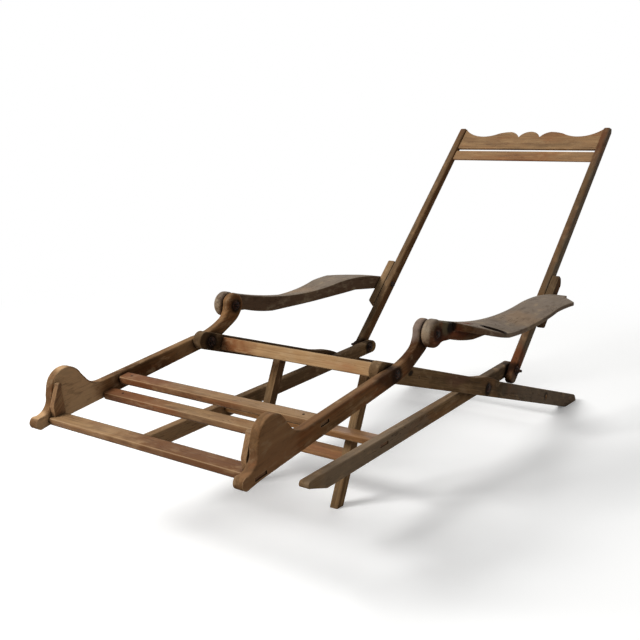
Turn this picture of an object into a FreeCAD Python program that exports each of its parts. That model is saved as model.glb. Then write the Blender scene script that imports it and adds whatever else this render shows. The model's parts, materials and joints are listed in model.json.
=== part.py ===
# Folding steamer deck chair: flat wooden rails on iron pivot bolts.
# X runs across the chair, Y from the foot end (-Y) to the back (+Y), and Z up.
# Lengths are in millimetres and angles in degrees.
# The origin lies on the floor at the middle of the chair's length and width.
import FreeCAD
import Part
import math
import os

Vector = FreeCAD.Vector

# Thickness of each layer across the chair, from the middle outwards
SEAT_WIDTH = 500.0           # over the outer faces of the two seat rails
SEAT_RAIL_THICK = 24.0
SPREADER_THICK = 22.0
STILE_THICK = 22.0
FOOT_RAIL_THICK = 21.0
ARM_THICK = 26.0
PROP_THICK = 20.0
PROP_SPREAD = 243.0          # between the middles of the two prop legs
HINGE_GAP = 0.5              # air between two rails that turn on each other

# Linkage in the side view
SEAT_ANGLE = 16.55           # slope of the seat rails, falling to the rear
MAIN_PIVOT_HEIGHT = 179.5    # seat rail to spreader leg, above the floor
KNEE_SPAN = 486.9            # main pivot to knee pivot, along the seat rail
SPREADER_ANGLE = 3.2         # rise of the spreader legs to the rear
BACK_PIVOT_SPAN = 166.0      # main pivot to back pivot, along the spreader leg
BACK_ANGLE = 44.5            # lean of the back above the floor
ARM_PIN_UP = 227.0           # back pivot to arm pin, along the stile
ARM_PIN_FORWARD = 1.0        # arm pin in front of the back pivot, across the stile
FOOT_ANGLE = 9.3             # droop of the foot rails to the toes
ELBOW_BACK = 122.5           # knee pivot to elbow pivot, along the foot rail
ELBOW_UP = 45.9              # knee pivot to elbow pivot, across the foot rail

# Seat rails
SEAT_RAIL_DEPTH = 41.0
SEAT_RAIL_FRONT = 38.0       # length ahead of the knee pivot
SEAT_RAIL_REAR = 644.0       # length behind the main pivot
SEAT_RAIL_HUMP = 7.0         # rise of the top edge over the main pivot
SEAT_RAIL_HUMP_LENGTH = 150.0
REAR_NOSE_RADIUS = 22.0

# Cross members of the seat
FRONT_BAR_BACK = 47.0        # knee pivot to the middle of the front bar
FRONT_BAR_DEPTH = 24.0
FRONT_BAR_HEIGHT = 30.0
REAR_STRETCHER_BACK = 395.0  # main pivot to the rear stretcher
REAR_STRETCHER_RADIUS = 10.0
PEG_RADIUS = 7.0
EDGE_CHAMFER = 2.0           # taken off the long edges of the cross bars

# Spreader legs
SPREADER_DEPTH = 35.0
SPREADER_PIVOT_RISE = 3.0    # pivots above the middle of the leg
SPREADER_FRONT = 701.0       # main pivot to the front tip
SPREADER_REAR = 205.0        # main pivot to the rear end
SPREADER_FOOT_ANGLE = 20.3   # bevel that stands flat in the upright place
SPREADER_TIP_RADIUS = 7.0
SPREADER_BAR_AHEAD = 45.1    # spreader bar in front of the prop legs, along the spreader leg
SPREADER_BAR_WIDTH = 34.0
SPREADER_BAR_THICK = 15.0
SPREADER_BAR_RISE = 4.0      # bar's middle above the line of the pivots
SPREADER_TENON_DROP = 4.0    # tongue's middle below the bar's middle

# Tongues of the bars that come through a rail
TENON_SHOULDER = 1.5         # bar's edge to the tongue's edge
TENON_THICK = 7.0
TENON_SHORT = 2.0            # outer face of the rail to the tongue's end

# Prop frame
PROP_ROD_BACK = 131.0        # knee pivot to the prop rod, along the seat rail
PROP_ROD_RADIUS = 5.0
PROP_ANGLE = 22.9            # lean of the prop legs from upright
PROP_DEPTH = 23.5
PROP_HEAD_RISE = 4.0         # wood above the rod beyond half the depth
PROP_BAR_HEIGHT = 101.0      # middle of the prop bar above the floor
PROP_BAR_WIDTH = 31.0
PROP_BAR_THICK = 13.0

# Back
STILE_LENGTH = 875.0         # back pivot to the top front corner
STILE_FRONT = 11.5           # front face ahead of the back pivot
STILE_DEPTH = 32.0
STILE_TOP_DEPTH = 19.0
STILE_CROWN_RADIUS = 12.0
STOP_GAP = 0.3               # air between the stile's heel and the seat rail
CREST_SETBACK = 6.0
CREST_THICK = 8.0
CREST_DROP = 87.0            # top of the stiles to the crest's lower edge
CREST_END_RISE = 85.0        # heights above the crest's lower edge
CREST_LOW_RISE = 55.0
CREST_SWELL_RISE = 66.5
CREST_SHOULDER_RISE = 74.0
CREST_NOTCH_RISE = 51.0
CREST_CENTRE_RISE = 75.0
CREST_SWELL_BOW = 5.5        # middle of the slow rise above its outer end
CREST_NOTCH_BOW = 17.0       # middle of the steep fall above the notch
CREST_LOW_AT = 172.0         # distances from the middle of the crest
CREST_SWELL_AT = 108.0
CREST_SHOULDER_AT = 66.0
CREST_NOTCH_AT = 34.5
SLING_SLOT = 10.0            # between the crest and the lower rail
LOWER_RAIL_HEIGHT = 38.0
BLOCK_LENGTH = 157.0
BLOCK_ABOVE_PIN = 80.0       # block's top end above the arm pin

# Foot rest
FOOT_RAIL_DEPTH = 37.0
FOOT_LENGTH = 475.0          # knee pivot to the tip of the toe
FOOT_RAIL_TAPER = 4.0        # the plank is this much thinner at the knee
ELBOW_RADIUS = 29.0
TOE_KNOB_RADIUS = 12.0
TOE_THROAT_RADIUS = 30.0     # hollow between the knob and the peak
TOE_PEAK_RADIUS = 39.0
TOE_PEAK_AT = 89.0           # toe's tip to the middle of the peak
TOE_PEAK_RISE = 22.5         # peak's middle above the plank's top edge
TOE_HEEL_RADIUS = 47.5       # hollow between the peak and the plank
TOE_HEEL_AT = 175.0
NECK_SPAN = 53.5             # elbow pivot to the foot of the neck
NECK_LENGTH = 142.5          # elbow pivot to where the neck joins the plank
FOOT_BAR_AT = 429.0          # knee pivot to the middle of the foot bar
FOOT_BAR_WIDTH = 34.0
FOOT_BAR_THICK = 15.0
FOOT_BAR_DROP = 10.0
SLAT_WIDTH = 29.0
SLAT_THICK = 16.0
FRONT_SLAT_AT = 293.0
FRONT_SLAT_DROP = 13.0
REAR_SLAT_AT = 247.0
REAR_SLAT_DROP = -4.0
BATTEN_THICK = 12.0
BATTEN_WIDTH = 26.0
BATTEN_AT = 424.0
BATTEN_HEIGHT = 62.0

# Arms
KNUCKLE_RADIUS = 30.0
ARM_TOP_START = 64.0         # elbow pivot to the start of the hollow
ARM_TOP_RISE = 18.0          # top edge above the line of the pivots there
ARM_HOLLOW_RISE = 0.4
ARM_CROWN_RISE = 25.2
ARM_TAIL_RISE = 14.0
ARM_BELLY_DEPTH = 33.5       # lower edge below the line of the pivots
ARM_NECK_DEPTH = 20.0
ARM_HEEL_DEPTH = 16.0
ARM_TAIL = 38.0              # length behind the arm pin
ARM_TAIL_DEPTH = 24.0
ARM_PIN_COVER = 5.0          # wood left outside the end of the arm pin
WING_REACH = 82.0            # wing's breadth outside the arm bar
WING_EDGE = 9.0              # wing's thickness at its outer edge
WING_ROOT = 18.0             # wing's thickness beside the bar
WING_DROOP = 27.0            # fall of the wing's outer edge near its front
WING_FADE = 136.0            # along the arm, to where the fall of the edge is half
WING_START = 60.0            # elbow pivot to the start of the flare
WING_FULL = 200.0            # elbow pivot to the wing's full breadth
WING_TAIL_SHORT = 128.0      # rear outer corner in front of the arm pin
GLASS_SLOT_AT = 176.0        # elbow pivot to the middle of the slot
GLASS_SLOT_OUT = 41.0        # arm bar to the middle of the slot
GLASS_SLOT_LENGTH = 50.0
GLASS_SLOT_WIDTH = 22.0
GLASS_SLOT_ANGLE = 33.0      # turn of the slot from square across

# Iron fittings
BOLT_RADIUS = 4.0
BOLT_PLAY = 0.05             # running clearance round each bolt
HEAD_RADIUS = 9.0
HEAD_TOP_RADIUS = 5.5
HEAD_HEIGHT = 3.5
NUT_ACROSS = 13.0
NUT_HEIGHT = 6.0
BOLT_END = 3.0               # bolt showing past its nut

# Faces of each layer across the chair, on the +X side
SEAT_OUT = SEAT_WIDTH / 2
SEAT_IN = SEAT_OUT - SEAT_RAIL_THICK
SPREADER_OUT = SEAT_IN - HINGE_GAP
SPREADER_IN = SPREADER_OUT - SPREADER_THICK
STILE_OUT = SEAT_OUT
STILE_IN = STILE_OUT - STILE_THICK
FOOT_IN = SEAT_OUT + HINGE_GAP
FOOT_OUT = FOOT_IN + FOOT_RAIL_THICK
ARM_IN = FOOT_OUT + HINGE_GAP
ARM_OUT = ARM_IN + ARM_THICK
BLOCK_OUT = ARM_IN - HINGE_GAP
PROP_IN = (PROP_SPREAD - PROP_THICK) / 2
PROP_OUT = PROP_IN + PROP_THICK
CREST_FOOT = STILE_LENGTH - CREST_DROP


class Link:
    """A side view frame: u runs along a rail and v across it, seen from +X."""

    def __init__(self, y, z, angle, flip=False):
        self.y = y
        self.z = z
        self.angle = math.radians(angle)
        self.flip = -1.0 if flip else 1.0

    def at(self, u, v, x=0.0):
        """Return the point at u and v as a vector in the chair."""
        side = v * self.flip
        along = math.cos(self.angle)
        across = math.sin(self.angle)
        return Vector(x, self.y + u * along - side * across, self.z + u * across + side * along)

    def to_local(self, point):
        """Return u and v of a point in the chair."""
        along = math.cos(self.angle)
        across = math.sin(self.angle)
        dy = point.y - self.y
        dz = point.z - self.z
        return dy * along + dz * across, (dz * along - dy * across) * self.flip


class Outline:
    """A closed outline in a link's frame, made of lines, arcs and curves."""

    def __init__(self, link, u, v):
        self.link = link
        self.start = link.at(u, v)
        self.here = self.start
        self.edges = []

    def _add(self, edge, end):
        self.edges.append(edge)
        self.here = end
        return self

    def line(self, u, v):
        """Draw a straight edge to u and v."""
        end = self.link.at(u, v)
        return self._add(Part.LineSegment(self.here, end).toShape(), end)

    def arc(self, middle, u, v):
        """Draw an arc through a middle point to u and v."""
        end = self.link.at(u, v)
        return self._add(Part.Arc(self.here, self.link.at(*middle), end).toShape(), end)

    def arcs(self, stations):
        """Draw arcs through stations, each from an end to an end through a middle."""
        for middle, end in zip(stations[1::2], stations[2::2]):
            self.arc(middle, *end)
        return self

    def curve(self, *points):
        """Draw one smooth curve through the points."""
        spline = Part.BSplineCurve()
        stations = [self.here] + [self.link.at(*point) for point in points]
        spline.interpolate(stations)
        return self._add(spline.toShape(), stations[-1])

    def round(self, centre, radius, first, last):
        """Draw a straight edge to a circle's first angle, then round it to the last."""
        middle = on_circle(centre, radius, (first + last) / 2)
        start = on_circle(centre, radius, first)
        if self.here.distanceToPoint(self.link.at(*start)) > 1e-6:
            self.line(*start)
        return self.arc(middle, *on_circle(centre, radius, last))

    def height(self):
        """Return how far across the rail the outline has come."""
        return self.link.to_local(self.here)[1]

    def face(self):
        """Close the outline and return its face."""
        if self.here.distanceToPoint(self.start) > 1e-6:
            self._add(Part.LineSegment(self.here, self.start).toShape(), self.start)
        return Part.Face(Part.Wire(self.edges))

    def plate(self, inner, outer):
        """Return the outline as a plate between two X values."""
        face = self.face()
        face.translate(Vector(inner, 0, 0))
        return face.extrude(Vector(outer - inner, 0, 0))


def on_circle(centre, radius, angle):
    """Return the point of a circle at an angle, as u and v."""
    turn = math.radians(angle)
    return centre[0] + radius * math.cos(turn), centre[1] + radius * math.sin(turn)


def on_both_sides(shape):
    """Return a shape of the +X side with its mirror image, named by side."""
    return {"left": shape, "right": shape.mirror(Vector(0, 0, 0), Vector(1, 0, 0))}


def pin(link, u, v, radius, inner, outer):
    """Return a round bar along X about a point of a link."""
    return Part.makeCylinder(radius, outer - inner, link.at(u, v, inner), Vector(1, 0, 0))


def drill(shape, point, radius=BOLT_RADIUS + BOLT_PLAY):
    """Bore a hole through a shape along X."""
    start = Vector(-SEAT_WIDTH, point.y, point.z)
    return shape.cut(Part.makeCylinder(radius, 2 * SEAT_WIDTH, start, Vector(1, 0, 0)))


def cross_bar(link, u, v, width, thick, half_span):
    """Return a bar across the chair with its middle at u and v of a link."""
    outline = Outline(link, u - width / 2, v - thick / 2)
    outline.line(u + width / 2, v - thick / 2)
    outline.line(u + width / 2, v + thick / 2)
    outline.line(u - width / 2, v + thick / 2)
    return outline.plate(-half_span, half_span)


def tongue(link, u, v, width, reach):
    """Return the tongue of a cross bar of that width, as long as the reach to each side."""
    return cross_bar(link, u, v, width - 2 * TENON_SHOULDER, TENON_THICK, reach)


def soften(shape, size=EDGE_CHAMFER):
    """Take off the four long edges of a bar across the chair."""
    edges = []
    for edge in shape.Edges:
        if edge.Curve.TypeId == "Part::GeomLine" and abs(edge.Curve.Direction.x) > 0.999:
            edges.append(edge)
    return shape.makeChamfer(size, edges)


def side_links():
    """Return the frames of the rails, placed by the pivots of the linkage."""
    main = Link(0.0, MAIN_PIVOT_HEIGHT, -SEAT_ANGLE)
    knee = main.at(-KNEE_SPAN, 0)
    spreader = Link(0.0, MAIN_PIVOT_HEIGHT, SPREADER_ANGLE)
    back_pivot = spreader.at(BACK_PIVOT_SPAN, 0)
    back = Link(back_pivot.y, back_pivot.z, BACK_ANGLE)
    arm_pin = back.at(ARM_PIN_UP, ARM_PIN_FORWARD)
    foot = Link(knee.y, knee.z, 180.0 + FOOT_ANGLE, flip=True)
    elbow = foot.at(-ELBOW_BACK, ELBOW_UP)
    droop = math.degrees(math.atan2(arm_pin.z - elbow.z, arm_pin.y - elbow.y))
    arm = Link(elbow.y, elbow.z, droop)
    rod = main.at(PROP_ROD_BACK - KNEE_SPAN, 0)
    prop = Link(rod.y, rod.z, 270.0 - PROP_ANGLE)
    return {"seat": main, "spreader": spreader, "back": back, "foot": foot, "arm": arm, "prop": prop}


def floor_cut(shape):
    """Cut away what would lie below the floor."""
    size = 4 * SEAT_RAIL_REAR
    return shape.cut(Part.makeBox(size, size, size, Vector(-size / 2, -size / 2, -size)))


def seat_rail(link):
    """Return the +X seat rail: round front end, low hump, foot flat on the floor."""
    half = SEAT_RAIL_DEPTH / 2
    front = -KNEE_SPAN - SEAT_RAIL_FRONT
    hump = SEAT_RAIL_HUMP_LENGTH / 2
    outline = Outline(link, front + half, -half)
    outline.line(SEAT_RAIL_REAR, -half)
    outline.line(SEAT_RAIL_REAR, half - REAR_NOSE_RADIUS)
    outline.arc((SEAT_RAIL_REAR - REAR_NOSE_RADIUS * 0.2929, half - REAR_NOSE_RADIUS * 0.2929),
                SEAT_RAIL_REAR - REAR_NOSE_RADIUS, half)
    outline.line(hump, half)
    outline.curve((hump / 2, half + SEAT_RAIL_HUMP * 0.55), (0.0, half + SEAT_RAIL_HUMP),
                  (-hump / 2, half + SEAT_RAIL_HUMP * 0.55), (-hump, half))
    outline.line(front + half, half)
    outline.arc((front, 0), front + half, -half)
    rail = floor_cut(outline.plate(SEAT_IN, SEAT_OUT))
    for u in (-KNEE_SPAN, 0.0):
        rail = drill(rail, link.at(u, 0))
    rail = drill(rail, link.at(PROP_ROD_BACK - KNEE_SPAN, 0), PROP_ROD_RADIUS)
    return drill(rail, link.at(REAR_STRETCHER_BACK, 0), PEG_RADIUS)


def seat_cross_members(link):
    """Return the pale front bar and the rear stretcher with its pegged ends."""
    middle = FRONT_BAR_BACK - KNEE_SPAN
    bar = cross_bar(link, middle, 0, FRONT_BAR_DEPTH, FRONT_BAR_HEIGHT, SEAT_IN)
    bar = soften(bar)
    stretcher = pin(link, REAR_STRETCHER_BACK, 0, REAR_STRETCHER_RADIUS, -SEAT_IN, SEAT_IN)
    pegs = pin(link, REAR_STRETCHER_BACK, 0, PEG_RADIUS, -SEAT_OUT, SEAT_OUT)
    rod = pin(link, PROP_ROD_BACK - KNEE_SPAN, 0, PROP_ROD_RADIUS, -SEAT_OUT, SEAT_OUT)
    return {"seat_front_bar": bar, "seat_rear_stretcher": stretcher.fuse(pegs), "prop_rod": rod}


def spreader_leg(link, mortise):
    """Return the +X spreader leg: bevelled foot in front, clipped corners behind."""
    half = SPREADER_DEPTH / 2
    top = half - SPREADER_PIVOT_RISE
    low = top - SPREADER_DEPTH
    tip = (SPREADER_TIP_RADIUS - SPREADER_FRONT, top - SPREADER_TIP_RADIUS)
    under = 270 - SPREADER_FOOT_ANGLE
    nose, nose_height = on_circle(tip, SPREADER_TIP_RADIUS, under)
    bevel = (nose_height - low) / math.tan(math.radians(SPREADER_FOOT_ANGLE))
    end = SPREADER_REAR
    outline = Outline(link, nose + bevel, low)
    outline.line(end - half * 0.8, low)
    outline.arc((end - half * 0.15, low + half * 0.5), end, top - half * 0.9)
    outline.arc((end - half * 0.4, top - half * 0.3), end - half * 1.4, top)
    outline.round(tip, SPREADER_TIP_RADIUS, 90, under)
    leg = outline.plate(SPREADER_IN, SPREADER_OUT)
    for u in (0.0, BACK_PIVOT_SPAN):
        leg = drill(leg, link.at(u, 0))
    return leg.cut(mortise)


def spreader_bar_at(link, prop):
    """Return where the spreader bar lies along its legs, a set way in front of the prop."""
    start = link.to_local(prop.at(0, 0))
    step = link.to_local(prop.at(1, 0))
    down = (start[1] - SPREADER_BAR_RISE) / (start[1] - step[1])
    return start[0] + down * (step[0] - start[0]) - SPREADER_BAR_AHEAD


def spreader_tongue(link, prop, reach):
    """Return the flat tongue of the spreader bar, as long as the reach to each side."""
    height = SPREADER_BAR_RISE - SPREADER_TENON_DROP
    return tongue(link, spreader_bar_at(link, prop), height, SPREADER_BAR_WIDTH, reach)


def spreader_bar(link, prop):
    """Return the bar across the spreader legs, tenoned through them."""
    bar = cross_bar(link, spreader_bar_at(link, prop), SPREADER_BAR_RISE, SPREADER_BAR_WIDTH,
                    SPREADER_BAR_THICK, SPREADER_IN)
    return soften(bar).fuse(spreader_tongue(link, prop, SPREADER_OUT - TENON_SHORT))


def prop_leg(link):
    """Return the +X prop leg: round head on the rod, foot cut flat on the floor."""
    half = PROP_DEPTH / 2
    reach = (link.z + half) / math.cos(math.radians(PROP_ANGLE)) + PROP_DEPTH
    outline = Outline(link, -PROP_HEAD_RISE, half)
    outline.arc((-PROP_HEAD_RISE - half, 0), -PROP_HEAD_RISE, -half)
    outline.line(reach, -half)
    outline.line(reach, half)
    leg = floor_cut(outline.plate(PROP_IN, PROP_OUT))
    return drill(leg, link.at(0, 0), PROP_ROD_RADIUS + BOLT_PLAY)


def prop_bar(link):
    """Return the bar that ties the two prop legs."""
    down = (link.z - PROP_BAR_HEIGHT) / math.cos(math.radians(PROP_ANGLE))
    return soften(cross_bar(link, down, 0, PROP_BAR_WIDTH, PROP_BAR_THICK, PROP_IN))


def stile(link):
    """Return the +X stile: round heel, tapering rear face, eased crown."""
    front = STILE_FRONT
    rear = front - STILE_DEPTH
    heel = STILE_DEPTH / 2
    middle = front - heel
    heel_at = heel_centre(link)
    crown_rear = front - STILE_TOP_DEPTH
    crown = STILE_CROWN_RADIUS
    outline = Outline(link, heel_at, front)
    outline.arc((heel_at - heel, middle), heel_at, rear)
    outline.line(STILE_LENGTH - crown, crown_rear)
    outline.arc((STILE_LENGTH - crown * 0.38, crown_rear + crown * 0.25), STILE_LENGTH, crown_rear + crown)
    outline.line(STILE_LENGTH, front)
    post = outline.plate(STILE_IN, STILE_OUT)
    post = drill(post, link.at(0, 0))
    return drill(post, link.at(ARM_PIN_UP, ARM_PIN_FORWARD), BOLT_RADIUS)


def heel_centre(link):
    """Return where the round heel's middle lies so that it rests on the seat rail."""
    seat = Link(0.0, MAIN_PIVOT_HEIGHT, -SEAT_ANGLE)
    height = seat.to_local(link.at(0, 0))[1] - SEAT_RAIL_DEPTH / 2
    lean = math.radians(BACK_ANGLE + SEAT_ANGLE)
    middle = STILE_FRONT - STILE_DEPTH / 2
    return (STOP_GAP + STILE_DEPTH / 2 - height - middle * math.cos(lean)) / math.sin(lean)


def crest(link):
    """Return the shaped crest: two long dips, two shoulders and a centre hump."""
    front = STILE_FRONT - CREST_SETBACK

    def up(x, rise):
        return link.at(CREST_FOOT + rise, front, x)

    ends = [up(-STILE_IN, CREST_END_RISE), up(-STILE_IN, 0), up(STILE_IN, 0), up(STILE_IN, CREST_END_RISE)]
    edges = [Part.LineSegment(a, b).toShape() for a, b in zip(ends, ends[1:])]
    swell_middle = (CREST_SWELL_AT + CREST_SHOULDER_AT) / 2
    notch_middle = (CREST_NOTCH_AT + CREST_SHOULDER_AT) / 2
    arcs = [((STILE_IN, CREST_END_RISE), (CREST_LOW_AT, CREST_LOW_RISE), (CREST_SWELL_AT, CREST_SWELL_RISE)),
            ((CREST_SWELL_AT, CREST_SWELL_RISE), (swell_middle, CREST_SWELL_RISE + CREST_SWELL_BOW),
             (CREST_SHOULDER_AT, CREST_SHOULDER_RISE)),
            ((CREST_SHOULDER_AT, CREST_SHOULDER_RISE), (notch_middle, CREST_NOTCH_RISE + CREST_NOTCH_BOW),
             (CREST_NOTCH_AT, CREST_NOTCH_RISE))]
    for side in (1, -1):
        for arc in arcs:
            edges.append(Part.Arc(*[up(side * x, rise) for x, rise in arc]).toShape())
    hump = [up(CREST_NOTCH_AT, CREST_NOTCH_RISE), up(0, CREST_CENTRE_RISE), up(-CREST_NOTCH_AT, CREST_NOTCH_RISE)]
    edges.append(Part.Arc(*hump).toShape())
    face = Part.Face(Part.Wire(Part.__sortEdges__(edges)))
    return face.extrude(link.at(0, -CREST_THICK) - link.at(0, 0))


def back_lower_rail(link):
    """Return the straight rail below the crest, past the sling slot."""
    middle = CREST_FOOT - SLING_SLOT - LOWER_RAIL_HEIGHT / 2
    across = STILE_FRONT - CREST_SETBACK - CREST_THICK / 2
    return soften(cross_bar(link, middle, across, LOWER_RAIL_HEIGHT, CREST_THICK, STILE_IN))


def arm_block(link):
    """Return the block on the +X stile that carries the arm."""
    top = ARM_PIN_UP + BLOCK_ABOVE_PIN
    bottom = top - BLOCK_LENGTH
    front = STILE_FRONT

    def rear(u):
        share = u / STILE_LENGTH
        return front - STILE_DEPTH + (STILE_DEPTH - STILE_TOP_DEPTH) * share

    outline = Outline(link, bottom, front)
    outline.line(bottom, rear(bottom))
    outline.line(top - 16.0, rear(top))
    outline.arc((top - 4.0, (front + rear(top)) / 2 - 4.0), top, front - 8.0)
    outline.line(top, front)
    block = outline.plate(STILE_OUT, BLOCK_OUT)
    return drill(block, link.at(ARM_PIN_UP, ARM_PIN_FORWARD), BOLT_RADIUS)


def foot_rail(link):
    """Return the +X foot rail: a straight plank, a scrolled toe and a round elbow."""
    half = FOOT_RAIL_DEPTH / 2
    knob_at = FOOT_LENGTH - TOE_KNOB_RADIUS
    throat_at = knob_at - TOE_KNOB_RADIUS / 3
    peak = (FOOT_LENGTH - TOE_PEAK_AT, half + TOE_PEAK_RISE)
    heel = (FOOT_LENGTH - TOE_HEEL_AT, half + TOE_HEEL_RADIUS)
    top = half - FOOT_RAIL_TAPER
    outline = Outline(link, knob_at, -half - 1.0)
    outline.round((knob_at, TOE_KNOB_RADIUS - half - 1.0), TOE_KNOB_RADIUS, -90, 90)
    outline.round((throat_at, outline.height() + TOE_THROAT_RADIUS), TOE_THROAT_RADIUS, 270, 180)
    outline.round(peak, TOE_PEAK_RADIUS, 14, 160)
    outline.round(heel, TOE_HEEL_RADIUS, -32, -90)
    outline.line(NECK_LENGTH - ELBOW_BACK, top)
    elbow_neck(outline, top)
    outline.line(knob_at - 3 * TOE_KNOB_RADIUS, -half)
    rail = outline.plate(FOOT_IN, FOOT_OUT)
    for mortise in tenons(link, FOOT_OUT).values():
        rail = rail.cut(mortise)
    rail = drill(rail, link.at(0, 0))
    return drill(rail, link.at(-ELBOW_BACK, ELBOW_UP))


def elbow_neck(outline, top):
    """Draw the neck from the plank's top edge, round the elbow and back to its lower edge."""
    foot = NECK_SPAN - ELBOW_BACK
    radius = ELBOW_RADIUS
    low = -FOOT_RAIL_DEPTH / 2
    outline.arc((foot + NECK_SPAN * 0.8, top - 0.5), foot, ELBOW_UP - radius * 0.755)
    outline.arc((foot - radius * 0.66, ELBOW_UP - radius * 0.34), *on_circle((-ELBOW_BACK, ELBOW_UP), radius, 30))
    outline.round((-ELBOW_BACK, ELBOW_UP), radius, 30, 200)
    outline.arc((-ELBOW_BACK - radius * 0.35, ELBOW_UP - radius * 1.05), -ELBOW_BACK + radius * 0.36,
                ELBOW_UP - radius * 1.43)
    outline.line(foot, low + 9.0)
    outline.arc((foot + NECK_SPAN * 0.8, low + 1.3), foot + NECK_SPAN * 1.5, low)


def tenons(link, reach):
    """Return the tongues of the two bars that are tenoned through the foot rails."""
    places = {"foot_bar": (FOOT_BAR_AT, -FOOT_BAR_DROP, FOOT_BAR_WIDTH),
              "calf_slat_rear": (REAR_SLAT_AT, -REAR_SLAT_DROP, SLAT_WIDTH)}
    parts = {}
    for name, (u, v, width) in places.items():
        parts[name] = tongue(link, u, v, width, reach)
    return parts


def foot_cross_members(link):
    """Return the foot bar, the two calf slats and the battens inside the toes."""
    parts = {}
    bars = {"foot_bar": (FOOT_BAR_AT, -FOOT_BAR_DROP, FOOT_BAR_WIDTH, FOOT_BAR_THICK),
            "calf_slat_front": (FRONT_SLAT_AT, -FRONT_SLAT_DROP, SLAT_WIDTH, SLAT_THICK),
            "calf_slat_rear": (REAR_SLAT_AT, -REAR_SLAT_DROP, SLAT_WIDTH, SLAT_THICK)}
    for name, (u, v, width, thick) in bars.items():
        parts[name] = soften(cross_bar(link, u, v, width, thick, FOOT_IN))
    for name, tenon in tenons(link, FOOT_OUT - TENON_SHORT).items():
        parts[name] = parts[name].fuse(tenon)
    base = FOOT_BAR_THICK / 2 - FOOT_BAR_DROP
    outline = Outline(link, BATTEN_AT - BATTEN_WIDTH / 2, base)
    outline.line(BATTEN_AT - BATTEN_WIDTH / 2, base + BATTEN_HEIGHT - 8.0)
    outline.arc((BATTEN_AT - BATTEN_WIDTH / 2 + 6.0, base + BATTEN_HEIGHT - 2.0),
                BATTEN_AT - BATTEN_WIDTH / 4, base + BATTEN_HEIGHT - 4.0)
    outline.line(BATTEN_AT + BATTEN_WIDTH / 2, base + BATTEN_HEIGHT * 0.35)
    outline.line(BATTEN_AT + BATTEN_WIDTH / 2, base)
    batten = outline.plate(FOOT_IN - BATTEN_THICK, FOOT_IN)
    for side, shape in on_both_sides(batten).items():
        parts["foot_batten_" + side] = shape
    return parts


def arm_top(reach):
    """Return the stations of two arcs: the arm's hollowed top, then its crown."""
    join = reach * 0.69
    return [(ARM_TOP_START, ARM_TOP_RISE), ((ARM_TOP_START + join) / 2, ARM_HOLLOW_RISE), (join, ARM_TOP_RISE),
            (reach * 0.845, ARM_CROWN_RISE), (reach + ARM_TAIL, ARM_TAIL_RISE)]


def arm_underside(outline, reach):
    """Draw the arm bar's lower edge, from the tail forwards."""
    outline.line(reach + ARM_TAIL, ARM_TAIL_RISE - ARM_TAIL_DEPTH)
    outline.line(reach - ARM_TAIL * 0.6, -ARM_HEEL_DEPTH)
    outline.line(reach * 0.81, -ARM_HEEL_DEPTH * 0.7)
    outline.arc((reach * 0.5, -ARM_BELLY_DEPTH * 0.77), reach * 0.25, -ARM_BELLY_DEPTH)
    outline.arc((reach * 0.18, -ARM_BELLY_DEPTH * 0.89), ARM_TOP_START, -ARM_NECK_DEPTH)
    outline.line(KNUCKLE_RADIUS, -ARM_NECK_DEPTH)


def arm(link, arm_pin):
    """Return the +X arm: round knuckle, deep bar and a broad thin wing outside it."""
    reach = link.to_local(arm_pin)[0]
    tail = reach + ARM_TAIL
    radius = KNUCKLE_RADIUS
    top = arm_top(reach)
    outline = Outline(link, 0.5 * radius, 0.866 * radius)
    outline.line(*top[0])
    outline.arcs(top)
    arm_underside(outline, reach)
    outline.line(0.6 * radius, -0.8 * radius)
    outline.arc((-radius, 0), 0.5 * radius, 0.866 * radius)
    bar = outline.plate(ARM_IN, ARM_OUT)
    body = bar.fuse(wing(link, top, tail))
    body = drill(body, link.at(0, 0))
    return body.cut(arm_pin_end(arm_pin))


def wing_section(link, top, thick, x):
    """Return the wing's side outline at one distance from the middle."""
    outline = Outline(link, *top[0])
    outline.arcs(top)
    under = [(u, v - thick) for u, v in reversed(top)]
    outline.line(*under[0])
    outline.arcs(under)
    outline.line(*top[0])
    wire = Part.Wire(outline.edges)
    wire.translate(Vector(x, 0, 0))
    return wire


def drooped(top):
    """Return the top stations lowered as the wing's outer edge, most near the front."""
    middle = GLASS_SLOT_AT
    lowered = []
    for u, v in top:
        share = 1.0 / (1.0 + ((u - middle) / WING_FADE) ** 2)
        lowered.append((u, v - WING_DROOP * share))
    return lowered


def wing(link, top, tail):
    """Return the wing: a hollowed board that thins and droops outwards, cut to its plan."""
    edge = ARM_OUT + WING_REACH
    inner = wing_section(link, top, WING_ROOT, ARM_OUT)
    outer = wing_section(link, drooped(top), WING_EDGE, edge)
    board = Part.makeLoft([inner, outer], True, True)
    board = board.common(wing_plan(link, tail))
    return board.cut(glass_slot(link))


def wing_plan(link, tail):
    """Return the wing's outline from above as a tall block."""
    low = -4 * WING_REACH
    reach = WING_REACH
    run = WING_FULL - WING_START
    rear = tail - ARM_TAIL - WING_TAIL_SHORT

    def at(u, out):
        return link.at(u, low, ARM_OUT + reach * out)

    shoulder = WING_START + run * 0.64
    arcs = [((WING_START, 0.0), (WING_START + run * 0.39, 0.27), (shoulder, 0.52)),
            ((shoulder, 0.52), (WING_START + run * 0.8, 0.75), (WING_FULL, 0.86)),
            ((WING_FULL, 0.86), (WING_FULL + (rear - WING_FULL) * 0.55, 0.84), (rear, 0.99))]
    edges = [Part.Arc(*[at(*point) for point in arc]).toShape() for arc in arcs]
    corners = [at(rear, 0.99), at(rear + (tail - rear) * 0.4, 0.38), at(tail, 0.0), at(WING_START, 0.0)]
    for start, end in zip(corners, corners[1:]):
        edges.append(Part.LineSegment(start, end).toShape())
    face = Part.Face(Part.Wire(edges))
    return face.extrude(link.at(0, -2 * low) - link.at(0, 0))


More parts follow.
